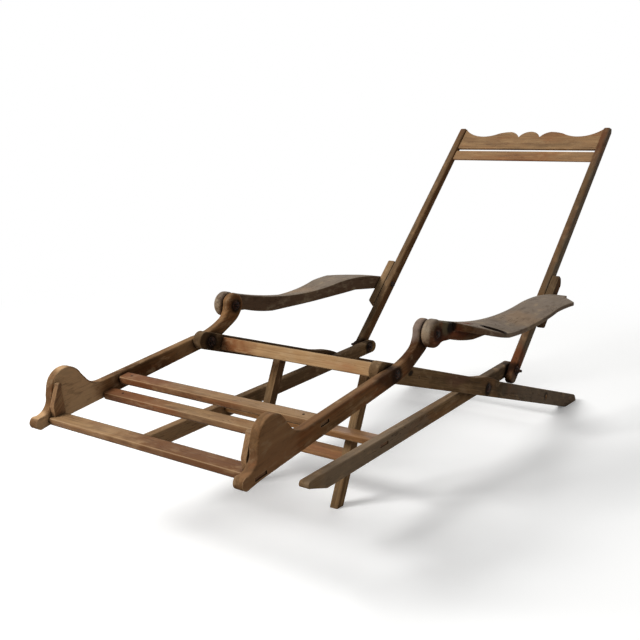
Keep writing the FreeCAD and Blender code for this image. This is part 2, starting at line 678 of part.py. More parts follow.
def glass_slot(link):
    """Return the cutter of the round ended slot near the wing's front."""
    radius = GLASS_SLOT_WIDTH / 2
    half = GLASS_SLOT_LENGTH / 2 - radius
    depth = 4 * WING_REACH
    turn = math.radians(GLASS_SLOT_ANGLE)

    def at(along, across):
        u = GLASS_SLOT_AT + along * math.sin(turn) - across * math.cos(turn)
        x = ARM_OUT + GLASS_SLOT_OUT + along * math.cos(turn) + across * math.sin(turn)
        return link.at(u, -depth, x)

    edges = [Part.LineSegment(at(-half, -radius), at(half, -radius)).toShape(),
             Part.Arc(at(half, -radius), at(half + radius, 0), at(half, radius)).toShape(),
             Part.LineSegment(at(half, radius), at(-half, radius)).toShape(),
             Part.Arc(at(-half, radius), at(-half - radius, 0), at(-half, -radius)).toShape()]
    face = Part.Face(Part.Wire(edges))
    return face.extrude(link.at(0, 2 * depth) - link.at(0, 0))


def bolt(point, inner, outer):
    """Return a bolt along +X with a low coned head outside."""
    shank = Part.makeCylinder(BOLT_RADIUS, outer - inner, Vector(inner, point.y, point.z), Vector(1, 0, 0))
    head = Part.makeCone(HEAD_RADIUS, HEAD_TOP_RADIUS, HEAD_HEIGHT, Vector(outer, point.y, point.z),
                         Vector(1, 0, 0))
    return shank.fuse(head)


def nut(point, face):
    """Return a square nut on an inner face."""
    half = NUT_ACROSS / 2
    block = Part.makeBox(NUT_HEIGHT, NUT_ACROSS, NUT_ACROSS,
                         Vector(face - NUT_HEIGHT, point.y - half, point.z - half))
    return drill(block, point, BOLT_RADIUS)


def pivot_fittings(point, inner, outer, name):
    """Return a pivot's two bolts and two nuts as grouped solids."""
    bolts = on_both_sides(bolt(point, inner - NUT_HEIGHT - BOLT_END, outer))
    nuts = on_both_sides(nut(point, inner))
    return {name + "_bolts": Part.makeCompound(list(bolts.values())),
            name + "_nuts": Part.makeCompound(list(nuts.values()))}


def arm_pin_end(point):
    """Return the pin's end, let into the +X arm from its inner face."""
    depth = ARM_THICK - ARM_PIN_COVER
    return Part.makeCylinder(BOLT_RADIUS, depth, Vector(ARM_IN, point.y, point.z), Vector(1, 0, 0))


def arm_pin_fittings(point):
    """Return the arm pins in two parts: the end in each arm, the stud in each block."""
    parts = {}
    for side, end in on_both_sides(arm_pin_end(point)).items():
        parts["arm_pin_" + side] = end
    inner = STILE_IN - NUT_HEIGHT
    stud = Part.makeCylinder(BOLT_RADIUS, BLOCK_OUT - inner, Vector(inner, point.y, point.z), Vector(1, 0, 0))
    parts["arm_pin_studs"] = Part.makeCompound(list(on_both_sides(stud).values()))
    parts["arm_pin_nuts"] = Part.makeCompound(list(on_both_sides(nut(point, STILE_IN)).values()))
    return parts


def build():
    """Return every piece of the chair by name, in the linkage's frame."""
    links = side_links()
    seat = links["seat"]
    back = links["back"]
    foot = links["foot"]
    arm_pin = back.at(ARM_PIN_UP, ARM_PIN_FORWARD)
    elbow = links["arm"].at(0, 0)
    mortise = spreader_tongue(links["spreader"], links["prop"], SPREADER_OUT)
    pairs = {"seat_rail": seat_rail(seat), "spreader_leg": spreader_leg(links["spreader"], mortise),
             "prop_leg": prop_leg(links["prop"]), "back_stile": stile(back), "arm_block": arm_block(back),
             "foot_rail": foot_rail(foot), "arm": arm(links["arm"], arm_pin)}
    parts = {}
    for name, shape in pairs.items():
        for side, solid in on_both_sides(shape).items():
            parts[name + "_" + side] = solid
    parts.update(seat_cross_members(seat))
    parts["spreader_bar"] = spreader_bar(links["spreader"], links["prop"])
    parts["prop_bar"] = prop_bar(links["prop"])
    parts["crest_rail"] = crest(back)
    parts["back_lower_rail"] = back_lower_rail(back)
    parts.update(foot_cross_members(foot))
    parts.update(pivot_fittings(seat.at(0, 0), SPREADER_IN, SEAT_OUT, "main_pivot"))
    parts.update(pivot_fittings(foot.at(0, 0), SEAT_IN, FOOT_OUT, "knee_pivot"))
    parts.update(pivot_fittings(back.at(0, 0), SPREADER_IN, STILE_OUT, "back_pivot"))
    parts.update(pivot_fittings(elbow, FOOT_IN, ARM_OUT, "elbow_pivot"))
    parts.update(arm_pin_fittings(arm_pin))
    return parts


def footprint_middle(parts):
    """Return the middle of the chair's length."""
    boxes = [shape.optimalBoundingBox(False, False) for shape in parts.values()]
    return (min(box.YMin for box in boxes) + max(box.YMax for box in boxes)) / 2


def main():
    """Build the chair, centre it and write one file for each piece."""
    parts = build()
    shift = Vector(0, -footprint_middle(parts), 0)
    os.makedirs("parts", exist_ok=True)
    for name, shape in parts.items():
        shape.translate(shift)
        shape.exportStep(os.path.join("parts", name + ".step"))
        print(name, len(shape.Solids), round(shape.Volume / 1000, 1), shape.isValid())


if __name__ == "__main__":
    main()
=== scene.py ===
"""Looks of the folding steamer deck chair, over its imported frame.

Every wooden piece keeps its solid, gets rounded edges and a finish whose grain
follows the piece. Washers, nails and plugs are added as small pieces.
Lengths are in metres, unless a name ends in mm.
"""

import json
import logging
import math
from dataclasses import dataclass, replace
from enum import Enum
from typing import Any, Iterable

import bpy
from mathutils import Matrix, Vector


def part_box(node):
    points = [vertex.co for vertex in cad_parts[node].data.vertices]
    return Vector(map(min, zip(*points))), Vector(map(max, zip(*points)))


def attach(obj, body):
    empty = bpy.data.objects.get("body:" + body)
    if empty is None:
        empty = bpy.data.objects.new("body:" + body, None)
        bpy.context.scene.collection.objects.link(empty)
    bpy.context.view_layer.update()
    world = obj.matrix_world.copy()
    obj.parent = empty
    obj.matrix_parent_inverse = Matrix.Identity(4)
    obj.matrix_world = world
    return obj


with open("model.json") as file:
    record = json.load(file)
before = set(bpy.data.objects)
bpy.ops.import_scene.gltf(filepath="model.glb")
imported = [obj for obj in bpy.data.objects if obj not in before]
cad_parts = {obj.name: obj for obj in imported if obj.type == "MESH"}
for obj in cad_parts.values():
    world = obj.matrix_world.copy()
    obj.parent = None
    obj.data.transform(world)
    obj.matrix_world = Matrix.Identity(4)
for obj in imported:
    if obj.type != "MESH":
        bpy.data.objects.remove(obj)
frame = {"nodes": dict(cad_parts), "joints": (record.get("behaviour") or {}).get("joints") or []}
LOG = logging.getLogger("deck_chair")
SIDES = {"left": 1, "right": -1}

Tree = bpy.types.NodeTree
Signal = bpy.types.Node | bpy.types.NodeSocket    # what can be linked to an input
Material = bpy.types.Material

# Kinds of node and settings that many nodes share.
MATH = "ShaderNodeMath"
VECTOR_MATH = "ShaderNodeVectorMath"
MAP_RANGE = "ShaderNodeMapRange"
MULTIPLY = {"operation": "MULTIPLY"}
MULTIPLY_ADD = {"operation": "MULTIPLY_ADD"}
SUBTRACT = {"operation": "SUBTRACT"}
ABSOLUTE = {"operation": "ABSOLUTE"}
MAXIMUM = {"operation": "MAXIMUM"}
GREATER_THAN = {"operation": "GREATER_THAN"}
DOT_PRODUCT = {"operation": "DOT_PRODUCT"}
DISTANCE = {"operation": "DISTANCE"}
LENGTH = {"operation": "LENGTH"}
SMOOTHSTEP = {"interpolation_type": "SMOOTHSTEP"}
COLOURS = {"data_type": "RGBA"}

WELD = 0.000005                      # points closer than this are joined
FLAT_ANGLE = math.radians(0.6)       # faces turned less than this become one
SMOOTH_ANGLE = math.radians(33.0)    # edges turned less than this are shaded smooth
SHARP_ANGLE = math.radians(38.0)     # edges turned more than this are rounded
HOLE_FACET = 0.002                   # facets of a bolt hole's rim are shorter than this
FLOOR_EDGE = 0.0045                  # edges lower than this stay sharp
STAIN_REACH = (9.0, 0.022, 0.022)    # iron stains go through the wood, 22 mm round a bolt


class Run(Enum):
    """Way the grain runs in a piece, as the turn that lays it along Y, in degrees."""

    SEAT = (-16.55, 0.0)
    SPREADER = (3.2, 0.0)
    BACK = (44.5, 0.0)
    FOOT = (9.3, 0.0)
    ARM = (-2.92, 0.0)
    PROP = (67.1, 0.0)
    ACROSS = (0.0, -90.0)

    @property
    def turn(self) -> tuple[float, float, float]:
        """Return the turn as Euler angles in radians."""
        return (math.radians(self.value[0]), 0.0, math.radians(self.value[1]))

    @property
    def way(self) -> Vector:
        """Find the direction of the grain in the chair.

        Returns:
            A vector of length 1.
        """
        if self is Run.ACROSS:
            return Vector((1.0, 0.0, 0.0))
        slope = math.radians(self.value[0])
        return Vector((0.0, math.cos(slope), math.sin(slope)))


class Light(Enum):
    """Lamps of the studio: place, watts, size in metres."""

    KEY = ((-2.6, -3.7, 3.4), 290.0, 2.2)
    BACK = ((-1.8, 4.2, 2.8), 70.0, 2.6)
    FILL = ((4.2, 0.4, 2.0), 16.0, 2.6)


def hex_to_linear(colour: str) -> tuple[float, float, float, float]:
    """Turn an sRGB colour into linear values.

    Args:
        colour: Six hex digits after a hash sign.

    Returns:
        Red, green and blue as linear values, with an alpha of 1.
    """
    channels = []
    for start in (1, 3, 5):
        value = int(colour[start:start + 2], 16) / 255
        channels.append(value / 12.92 if value <= 0.04045 else ((value + 0.055) / 1.055) ** 2.4)
    return (channels[0], channels[1], channels[2], 1.0)


def add_node(tree: Tree, kind: str, settings: dict[str, Any] | None = None,
             inputs: dict[str | int, Any] | None = None) -> bpy.types.Node:
    """Add one node with its settings, its values and its links.

    Args:
        tree: Node tree that gets the node.
        kind: Blender's name of the node type.
        settings: Properties of the node.
        inputs: A value, a socket or a node for each input. A node stands for its first output.

    Returns:
        The new node.
    """
    node = tree.nodes.new(kind)
    for key, value in (settings or {}).items():
        setattr(node, key, value)
    for key, value in (inputs or {}).items():
        if isinstance(value, bpy.types.Node):
            value = value.outputs[0]
        if isinstance(value, bpy.types.NodeSocket):
            tree.links.new(value, node.inputs[key])
        else:
            node.inputs[key].default_value = value
    return node


def blank_material(name: str) -> Material:
    """Make a material with an empty node tree.

    Args:
        name: Name of the material.

    Returns:
        The material.
    """
    material = bpy.data.materials.new(name)
    material.use_nodes = True
    material.node_tree.nodes.clear()
    return material


def looked_at(tree: Tree) -> Signal:
    """Tell rays that look at a thing from rays that light it.

    Args:
        tree: Node tree of a material or of the world.

    Returns:
        1 for camera, glossy and transmission rays, 0 for the others.
    """
    rays = add_node(tree, "ShaderNodeLightPath")
    seen = rays.outputs["Is Camera Ray"]
    for kind in ("Is Glossy Ray", "Is Transmission Ray"):
        seen = add_node(tree, MATH, MAXIMUM, {0: seen, 1: rays.outputs[kind]})
    return seen


@dataclass(frozen=True)
class Patch:
    """Soft patch of another colour: a stain round a bolt, a reddened end, painted shade in a recess,
    painted light on a toe.
    """

    centre: tuple[float, float, float]
    reach: tuple[float, float, float]
    colour: str = "#150b05"
    share: float = 0.94
    rim: tuple[float, float] = (0.55, -0.1)   # where it starts and where it is full
    turn: float = 0.0      # degrees about Z
    uneven: float = 1.2    # how far grime breaks up its rim
    ends: float = 0.0      # how far it keeps off the end grain

    def mirrored(self, sign: int) -> "Patch":
        """Return the patch on the left side for a sign of 1 and on the right for -1."""
        across, along, up = self.centre
        return replace(self, centre=(sign * across, along, up), turn=sign * self.turn)


@dataclass(frozen=True)
class Timber:
    """Sawn and planed hardwood, drawn along the grain of each piece.

    Real fibres are finer than a pixel, so they are drawn 3 mm wide to show.
    """

    name: str
    heart: str            # main colour of the wood
    pale: str             # softer wood between the growth rings
    dark: str             # late wood, pores and open checks
    red: str              # heartwood patches that kept their oil
    grey: str             # silvered upper faces
    end: str              # end grain
    inner_face_colour: str        # colour of the faces that look into the chair, mostly darker
    worn: str             # edges rubbed by hands and folding
    joint_dirt_and_shade: str = "#1e120a"  # dirt and painted shade in the joints
    redness: float = 0.45
    greyness: float = 0.45
    end_share: float = 0.55
    inner_face_share: float = 0.8
    wear_share: float = 0.45
    mottling: float = 0.5  # how strong the blotches of damp and bleaching are
    checking: float = 0.75  # how dark the open checks are
    ring_mm: float = 10.0
    fibre_mm: float = 3.0
    roughness: tuple[float, float] = (0.66, 0.88)
    gloss: float = 0.04   # level of the clear shine, next to none on bare weathered wood
    bump: float = 0.0004
    tone: float = 1.0     # lighter or darker pieces of the same wood
    edge_reach: float = 0.004    # how near to an edge the wood is rubbed
    joint_reach: float = 0.018   # how far the dirt and painted shade reach out of a joint

    def paint(self, colour: str) -> tuple[float, float, float, float]:
        """Return a colour of this wood as linear values, at its tone."""
        red, green, blue, alpha = hex_to_linear(colour)
        return (red * self.tone, green * self.tone, blue * self.tone, alpha)

    def streaks(self, tree: Tree, grain: Signal, across_mm: float,
                along_mm: float, seed: float, detail: float = 3.0) -> Signal:
        """Add noise drawn out along the grain.

        Args:
            tree: Node tree of the material.
            grain: Place in the piece, with Y along the grain.
            across_mm: Size of the marks across the grain.
            along_mm: Size of the marks along the grain.
            seed: Number that keeps two patterns apart.
            detail: How many finer octaves the noise has.

        Returns:
            The noise, from 0 to 1.
        """
        scale = (1000 / across_mm, 1000 / along_mm, 1000 / across_mm)
        drawn = add_node(tree, VECTOR_MATH, MULTIPLY, {0: grain, 1: scale})
        noise = add_node(tree, "ShaderNodeTexNoise", {"noise_dimensions": "4D"},
                         {"Vector": drawn, "W": seed, "Scale": 1.0, "Detail": detail,
                          "Roughness": 0.55, "Distortion": 0.35})
        return noise

    def layer(self, tree: Tree, below: Any, colour: str, mask: Signal,
              limits: tuple[float, float], share: float) -> Signal:
        """Lay a colour over another where a mask is strong.

        Args:
            tree: Node tree of the material.
            below: Colour underneath, as a socket or as linear values.
            colour: Colour on top, in hex.
            mask: Pattern that says where it lies.
            limits: Mask values where it starts and where it is full.
            share: How much it covers where it is full.

        Returns:
            The mixed colour.
        """
        amount = add_node(tree, MAP_RANGE, SMOOTHSTEP,
                          {"Value": mask, "From Min": limits[0], "From Max": limits[1],
                           "To Min": 0.0, "To Max": share})
        mixed = add_node(tree, "ShaderNodeMix", COLOURS,
                         {0: amount, 6: below, 7: self.paint(colour)})
        return mixed.outputs[2]

    def faces(self, tree: Tree, run: Run) -> tuple[Signal, Signal]:
        """Find the end grain and the upper faces of a piece.

        Args:
            tree: Node tree of the material.
            run: Way of the grain.

        Returns:
            How far a face turns to the grain's end, and how far it looks up.
        """
        place = add_node(tree, "ShaderNodeTexCoord")
        along = add_node(tree, VECTOR_MATH, DOT_PRODUCT,
                         {0: place.outputs["Normal"], 1: run.way})
        ends = add_node(tree, MATH, ABSOLUTE, {0: along.outputs["Value"]})
        up = add_node(tree, "ShaderNodeSeparateXYZ", None, {0: place.outputs["Normal"]})
        return ends, up.outputs[2]

    def patched(self, tree: Tree, colour: Signal, patches: Iterable[Patch],
                grime: Signal, ends: Signal) -> Signal:
        """Lay the patches over the wood, each with an uneven rim.

        Args:
            tree: Node tree of the material.
            colour: Colour of the wood.
            patches: The patches, with their places in the chair.
            grime: Noise that breaks up the rims.
            ends: How far a face turns to the grain's end.

        Returns:
            The patched colour.
        """
        place = add_node(tree, "ShaderNodeTexCoord").outputs["Object"]
        for patch in patches:
            away = add_node(tree, "ShaderNodeMapping", {"vector_type": "TEXTURE"},
                            {"Vector": place, "Location": patch.centre, "Scale": patch.reach,
                             "Rotation": (0.0, 0.0, math.radians(patch.turn))})
            away = add_node(tree, VECTOR_MATH, LENGTH, {0: away})
            rim = add_node(tree, MATH, MULTIPLY_ADD,
                           {0: grime, 1: -patch.uneven, 2: away.outputs["Value"]})
            rim = add_node(tree, MATH, MULTIPLY_ADD,
                           {0: ends, 1: patch.ends, 2: rim})
            colour = self.layer(tree, colour, patch.colour, rim, patch.rim, patch.share)
        return colour

    def worn_edges(self, tree: Tree) -> Signal:
        """Find the edges of a piece, by how far a rounded normal leaves the real one.

        Args:
            tree: Node tree of the material.

        Returns:
            1 on a flat face, and less near an edge.
        """
        true = add_node(tree, "ShaderNodeNewGeometry").outputs["Normal"]
        rounded = add_node(tree, "ShaderNodeBevel", {"samples": 4}, {"Radius": self.edge_reach})
        same = add_node(tree, VECTOR_MATH, DOT_PRODUCT, {0: true, 1: rounded})
        return same.outputs["Value"]

    def material(self, piece: str, run: Run, seed: int, side: int = 0, patches: Iterable[Patch] = (),
                 marks: Iterable[Patch] = ()) -> Material:
        """Make the finish of one piece.

        Args:
            piece: Name of the piece.
            run: Way of its grain.
            seed: Number that moves the pattern, so that no two pieces match.
            side: 1 or -1 where the piece has an inner face, 0 elsewhere.
            patches: Bleached, reddened or greyed stretches of it, and stretches of painted light and
                painted shade.
            marks: Iron stains, dents, holes and painted shade in recesses and round a bolt, over everything
                else.

        Returns:
            The material.
        """
        material = blank_material(f"{self.name}_{piece}")
        tree = material.node_tree
        place = add_node(tree, "ShaderNodeTexCoord")
        # Steps and turns that don't divide each other, so that no two seeds give the same wood.
        shift = (seed * 0.731 % 2.9, seed * 0.417 % 3.7, seed * 0.593 % 2.3)
        grain = add_node(tree, "ShaderNodeMapping", {"vector_type": "TEXTURE"},
                         {"Vector": place.outputs["Object"], "Location": shift,
                          "Rotation": run.turn})
        rings = self.streaks(tree, grain, self.ring_mm, 420, 1.7)
        fibres = self.streaks(tree, grain, self.fibre_mm, 90, 4.1, 2.0)
        broad = self.streaks(tree, grain, 45, 210, 7.9, 2.0)
        reddened = self.streaks(tree, grain, 55, 240, 12.3, 2.0)
        grime = self.streaks(tree, grain, 32, 40, 17.1, 5.0)
        checks = self.streaks(tree, grain, 8, 170, 23.9, 2.0)
        mottle = self.streaks(tree, grain, 15, 36, 29.7, 3.0)
        ends, up = self.faces(tree, run)
        bleached = add_node(tree, MATH, MULTIPLY_ADD, {0: up, 1: 0.5, 2: grime})
        sawn = add_node(tree, MATH, MULTIPLY_ADD, {0: mottle, 1: 0.9, 2: ends})

        # The wood itself: growth rings, broad bands, red heartwood, fibres and silvered upper faces.
        colour = self.paint(self.heart)
        for over, mask, limits, share in (
                (self.pale, rings, (0.42, 0.66), 0.7),
                (self.dark, broad, (0.50, 0.70), 0.5),
                (self.red, reddened, (0.50, 0.64), self.redness),
                (self.dark, fibres, (0.56, 0.34), 0.42),
                (self.grey, bleached, (0.5, 0.95), self.greyness)):
            colour = self.layer(tree, colour, over, mask, limits, share)
        if side:
            inward = add_node(tree, VECTOR_MATH, DOT_PRODUCT,
                              {0: place.outputs["Normal"], 1: (-float(side), 0.0, 0.0)})
            colour = self.layer(tree, colour, self.inner_face_colour, inward.outputs["Value"], (0.5, 0.9),
                                self.inner_face_share)
        colour = self.layer(tree, colour, self.end, sawn, (1.12, 1.42), self.end_share)
        colour = self.patched(tree, colour, patches, grime, ends)

        # What use and weather did to it, with painted shade: blotches, open checks, rubbed edges, stains,
        # marks with painted shade in recesses, and dirt with painted shade in the joints.
        ridge = add_node(tree, MATH, SUBTRACT, {0: checks, 1: 0.5})
        ridge = add_node(tree, MATH, ABSOLUTE, {0: ridge})
        cracks = add_node(tree, MAP_RANGE, None,
                          {"Value": ridge, "From Min": 0.004, "From Max": 0.018,
                           "To Min": 1.0, "To Max": 0.0})
        cracks = add_node(tree, MATH, MULTIPLY, {0: cracks, 1: broad})
        rubbed = add_node(tree, MATH, MULTIPLY_ADD,
                          {0: grime, 1: -0.12, 2: self.worn_edges(tree)})
        for over, mask, limits, share in (
                (self.worn, mottle, (0.52, 0.72), self.mottling),
                (self.dark, mottle, (0.46, 0.28), self.mottling * 0.7),
                (self.dark, cracks, (0.34, 0.6), self.checking),
                (self.worn, rubbed, (0.92, 0.80), self.wear_share)):
            colour = self.layer(tree, colour, over, mask, limits, share)
        colour = self.patched(tree, colour, marks, grime, ends)
        # Dirt and painted shade: faces darken where ambient occlusion finds other wood close by.
        joints = add_node(tree, "ShaderNodeAmbientOcclusion", {"samples": 4},
                          {"Distance": self.joint_reach})
        colour = self.layer(tree, colour, self.joint_dirt_and_shade, joints.outputs["AO"], (0.85, 0.35), 0.8)

        relief = add_node(tree, MATH, MULTIPLY_ADD, {0: rings, 1: 0.5, 2: fibres})
        relief = add_node(tree, MATH, SUBTRACT, {0: relief, 1: cracks})
        bump = add_node(tree, "ShaderNodeBump", None,
                        {"Strength": 0.8, "Distance": self.bump, "Height": relief})
        rough = add_node(tree, MAP_RANGE, None,
                         {"Value": grime, "From Min": 0.3, "From Max": 0.7,
                          "To Min": self.roughness[0], "To Max": self.roughness[1]})
        shader = add_node(tree, "ShaderNodeBsdfPrincipled", None,
                          {"Base Color": colour, "Roughness": rough, "IOR": 1.53,
                           "Specular IOR Level": self.gloss, "Normal": bump})
        add_node(tree, "ShaderNodeOutputMaterial", None, {"Surface": shader})
        return material


@dataclass(frozen=True)
class ForgedIron:
    """Hand forged iron, black with scale and rusted, which shows as a near black warm metal."""

    name: str = "rusted_forged_iron"
    scale: str = "#191411"
    rust: str = "#41261a"
    bare: str = "#4f4944"

    def material(self) -> Material:
        """Make the finish: scale, rust blooms 5 mm across and 1 mm pits drawn 1.5 mm to show.

        Returns:
            The material.
        """
        material = blank_material(self.name)
        tree = material.node_tree
        place = add_node(tree, "ShaderNodeTexCoord").outputs["Object"]
        bloom, pits = (
            add_node(tree, "ShaderNodeTexNoise", None,
                     {"Vector": place, "Scale": scale, "Detail": detail})
            for scale, detail in ((200.0, 4.0), (650.0, 2.0)))
        rusted = add_node(tree, MAP_RANGE, SMOOTHSTEP,
                          {"Value": bloom, "From Min": 0.44, "From Max": 0.62})
        edge = add_node(tree, MAP_RANGE, None,
                        {"Value": pits, "From Min": 0.62, "From Max": 0.74})
        colour = hex_to_linear(self.scale)
        for share, over in ((rusted, self.rust), (edge, self.bare)):
            colour = add_node(tree, "ShaderNodeMix", COLOURS,
                              {0: share, 6: colour, 7: hex_to_linear(over)}).outputs[2]
        metal, rough = (
            add_node(tree, MAP_RANGE, None,
                     {"Value": value, "To Min": least, "To Max": most})
            for value, least, most in ((rusted, 0.6, 0.0), (bloom, 0.55, 0.95)))
        bump = add_node(tree, "ShaderNodeBump", None, {"Strength": 0.7, "Distance": 0.0003, "Height": pits})
        shader = add_node(tree, "ShaderNodeBsdfPrincipled", None,
                          {"Base Color": colour, "Metallic": metal, "Roughness": rough,
                           "Specular IOR Level": 0.15, "Normal": bump})
        add_node(tree, "ShaderNodeOutputMaterial", None, {"Surface": shader})
        return material


@dataclass(frozen=True)
class PaleFloor:
    """Matt white paper sweep, darker to the light that bounces off it and pure white far off."""

    name: str = "matt_paper_sweep"
    seen: str = "#fcfcfb"
    bounce: str = "#8f8c88"
    lift: float = 0.16
    fade: tuple[float, float] = (1.3, 2.6)

    def material(self) -> Material:
        """Make the sweep's finish, with a faint 4 mm tooth.

        Returns:
            The material.
        """
        material = blank_material(self.name)
        tree = material.node_tree
        looked = looked_at(tree)
        place = add_node(tree, "ShaderNodeTexCoord").outputs["Object"]
        tooth = add_node(tree, "ShaderNodeTexNoise", None, {"Vector": place, "Scale": 250.0})
        colour = add_node(tree, "ShaderNodeMix", COLOURS,
                          {0: looked, 6: hex_to_linear(self.bounce), 7: hex_to_linear(self.seen)})
        bump = add_node(tree, "ShaderNodeBump", None,
                        {"Strength": 0.05, "Distance": 0.0002, "Height": tooth})
        paper = add_node(tree, "ShaderNodeBsdfDiffuse", None,
                         {"Color": colour.outputs[2], "Normal": bump})
        glow = add_node(tree, MATH, MULTIPLY, {0: looked, 1: self.lift})
        white = add_node(tree, "ShaderNodeEmission", None, {"Strength": glow})
        near = add_node(tree, "ShaderNodeAddShader", None, {0: paper, 1: white})
        away = add_node(tree, VECTOR_MATH, LENGTH, {0: place})
        far = add_node(tree, MAP_RANGE, SMOOTHSTEP,
                       {"Value": away.outputs["Value"], "From Min": self.fade[0], "From Max": self.fade[1]})
        far = add_node(tree, MATH, MULTIPLY, {0: far, 1: looked})
        sky = add_node(tree, "ShaderNodeEmission", None, {"Strength": 1.0})
        shader = add_node(tree, "ShaderNodeMixShader", None,
                          {0: far, 1: near, 2: sky})
        add_node(tree, "ShaderNodeOutputMaterial", None, {"Surface": shader})
        return material


# Old teak, sawn, planed and left bare: a dirty greyish brown, tan except on the darker faces that look into
# the chair.
TEAK = Timber("weathered_teak", heart="#806241", pale="#9a7b56", dark="#40301f", red="#764423",
              grey="#76644f", end="#5e4832", inner_face_colour="#5a412b", worn="#a38665", redness=0.5)
# The same teak where less red heartwood shows.
DULL_TEAK = replace(TEAK, redness=0.3)
# Redder and darker teak of the foot rails, with few open checks.
RED_TEAK = replace(TEAK, heart="#7b5533", pale="#946d46", redness=0.7, greyness=0.3, checking=0.3)
# Teak of the back's posts, dark with oil and hands, reddish where it is rubbed.
DARK_TEAK = Timber("hand_darkened_teak", heart="#5d4226", pale="#725435", dark="#2b1d10", red="#633016",
                   grey="#645645", end="#4a3624", inner_face_colour="#563a22", worn="#87694a", redness=0.7)
# Teak of the arms: silver grey where sun and hands reached it, red brown at the sides, a pale sawn end.
SILVERED_TEAK = Timber("silvered_teak", heart="#664429", pale="#7a5a3e", dark="#3a281b", red="#622f18",
                       grey="#7c6f61", end="#948672", inner_face_colour="#65503f", worn="#98856c",
                       redness=0.7, greyness=0.95, end_share=0.85, mottling=0.6)
# Oiled teak of the crest and foot boards: an even mid brown with a soft sheen.
OILED_TEAK = Timber("oiled_teak", heart="#886544", pale="#9c7852", dark="#4c3220", red="#7c4520",
                    grey="#8c7758", end="#684b2f", inner_face_colour="#573a24", worn="#a88862",
                    redness=0.6, greyness=0.3, mottling=0.35, gloss=0.12, roughness=(0.48, 0.7))
# Fresh beech of a replaced bar: pale tan, fine and close, hardly weathered.
BEECH = Timber("planed_beech", heart="#a37f57", pale="#b7946c", dark="#7c5937", red="#93592f",
               grey="#a5947a", end="#84603f", inner_face_colour="#7a5a3a", worn="#c0a47e",
               redness=0.6, greyness=0.2, mottling=0.3, ring_mm=7.0, fibre_mm=2.5)
# Orange pine of the two stretchers, varnished once: warm and even.
STRETCHER_PINE = Timber("varnished_pine", heart="#855c35", pale="#a07645", dark="#573820", red="#7a4523",
                        grey="#82694a", end="#6c4a2e", inner_face_colour="#5a3f27", worn="#a8865c",
                        redness=0.5, greyness=0.15, mottling=0.35, gloss=0.15, roughness=(0.42, 0.62))
IRON = ForgedIron()


def turned_mesh(name: str, profile: list[tuple[float, float]], centre: Vector, axis: Vector,
                segments: int = 28) -> bpy.types.Mesh:
    """Turn a profile round an axis.

    Args:
        name: Name of the mesh.
        profile: Radius and height of each ring, from the base up.
        centre: Foot of the axis.
        axis: Direction of the heights.
        segments: Number of points round each ring.

    Returns:
        The mesh, closed at both ends.
    """
    turn = axis.normalized().to_track_quat("Z", "Y")
    points = []
    faces = []
    for radius, height in profile:
        for step in range(segments):
            angle = 2 * math.pi * step / segments
            spoke = Vector((radius * math.cos(angle), radius * math.sin(angle), height))
            points.append(centre + turn @ spoke)
    for ring in range(len(profile) - 1):
        for step in range(segments):
            after = (step + 1) % segments
            low = ring * segments
            faces.append((low + step, low + after, low + segments + after, low + segments + step))
    last = (len(profile) - 1) * segments
    faces.append(tuple(reversed(range(segments))))
    faces.append(tuple(range(last, last + segments)))
    mesh = bpy.data.meshes.new(name)
    mesh.from_pydata(points, [], faces)
    mesh.update()
    return mesh


def modifier_tree(name: str) -> tuple[Tree, Signal]:
    """Make a geometry node group with one geometry in and one out.

    Args:
        name: Name of the group.

    Returns:
        The group, and the geometry that comes in.
    """
    tree = bpy.data.node_groups.new(name, "GeometryNodeTree")
    for way in ("INPUT", "OUTPUT"):
        tree.interface.new_socket("Geometry", in_out=way, socket_type="NodeSocketGeometry")
    return tree, add_node(tree, "NodeGroupInput")


def shading_group() -> Tree:
    """Make the modifier that joins a piece's faces and shades them by their edge angles.

    Returns:
        A geometry node group.
    """
    tree, start = modifier_tree("shade_by_edge_angle")
    bare = add_node(tree, "GeometryNodeRemoveAttribute", None, {"Geometry": start, "Name": "custom_normal"})
    whole = add_node(tree, "GeometryNodeMergeByDistance", None,
                     {"Geometry": bare, "Distance": WELD})
    angle = add_node(tree, "GeometryNodeInputMeshEdgeAngle")
    soft = add_node(tree, "FunctionNodeCompare", {"data_type": "FLOAT", "operation": "LESS_THAN"},
                    {0: angle, 1: SMOOTH_ANGLE})
    smooth = add_node(tree, "GeometryNodeSetShadeSmooth", {"domain": "FACE"},
                      {"Geometry": whole, "Shade Smooth": True})
    creased = add_node(tree, "GeometryNodeSetShadeSmooth", {"domain": "EDGE"},
                       {"Geometry": smooth, "Shade Smooth": soft})
    add_node(tree, "NodeGroupOutput", None, {0: creased})
    return tree


def section(node: str, slope: float) -> tuple[Vector, float, float]:
    """Measure the section of a cross piece that lies along a sloping rail.

    Args:
        node: Name of the cross piece.
        slope: Steepness of the rail, in radians.

    Returns:
        Its middle, its width along the rail and its thickness.
    """
    low, high = (Vector(corner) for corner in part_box(node))
    deep, tall = high.y - low.y, high.z - low.z
    wide = (deep * math.cos(slope) - tall * math.sin(slope)) / math.cos(2 * slope)
    thick = (tall * math.cos(slope) - deep * math.sin(slope)) / math.cos(2 * slope)
    return (low + high) / 2, wide, thick


@dataclass(frozen=True)
class Worn:
    """Place where a piece was shaped or rubbed rounder than elsewhere."""

    centre: tuple[float, float, float]
    reach: tuple[float, float]     # metres from the centre: full within the first, none past the second
    width_mm: float
    upper: bool = False            # only edges that look up


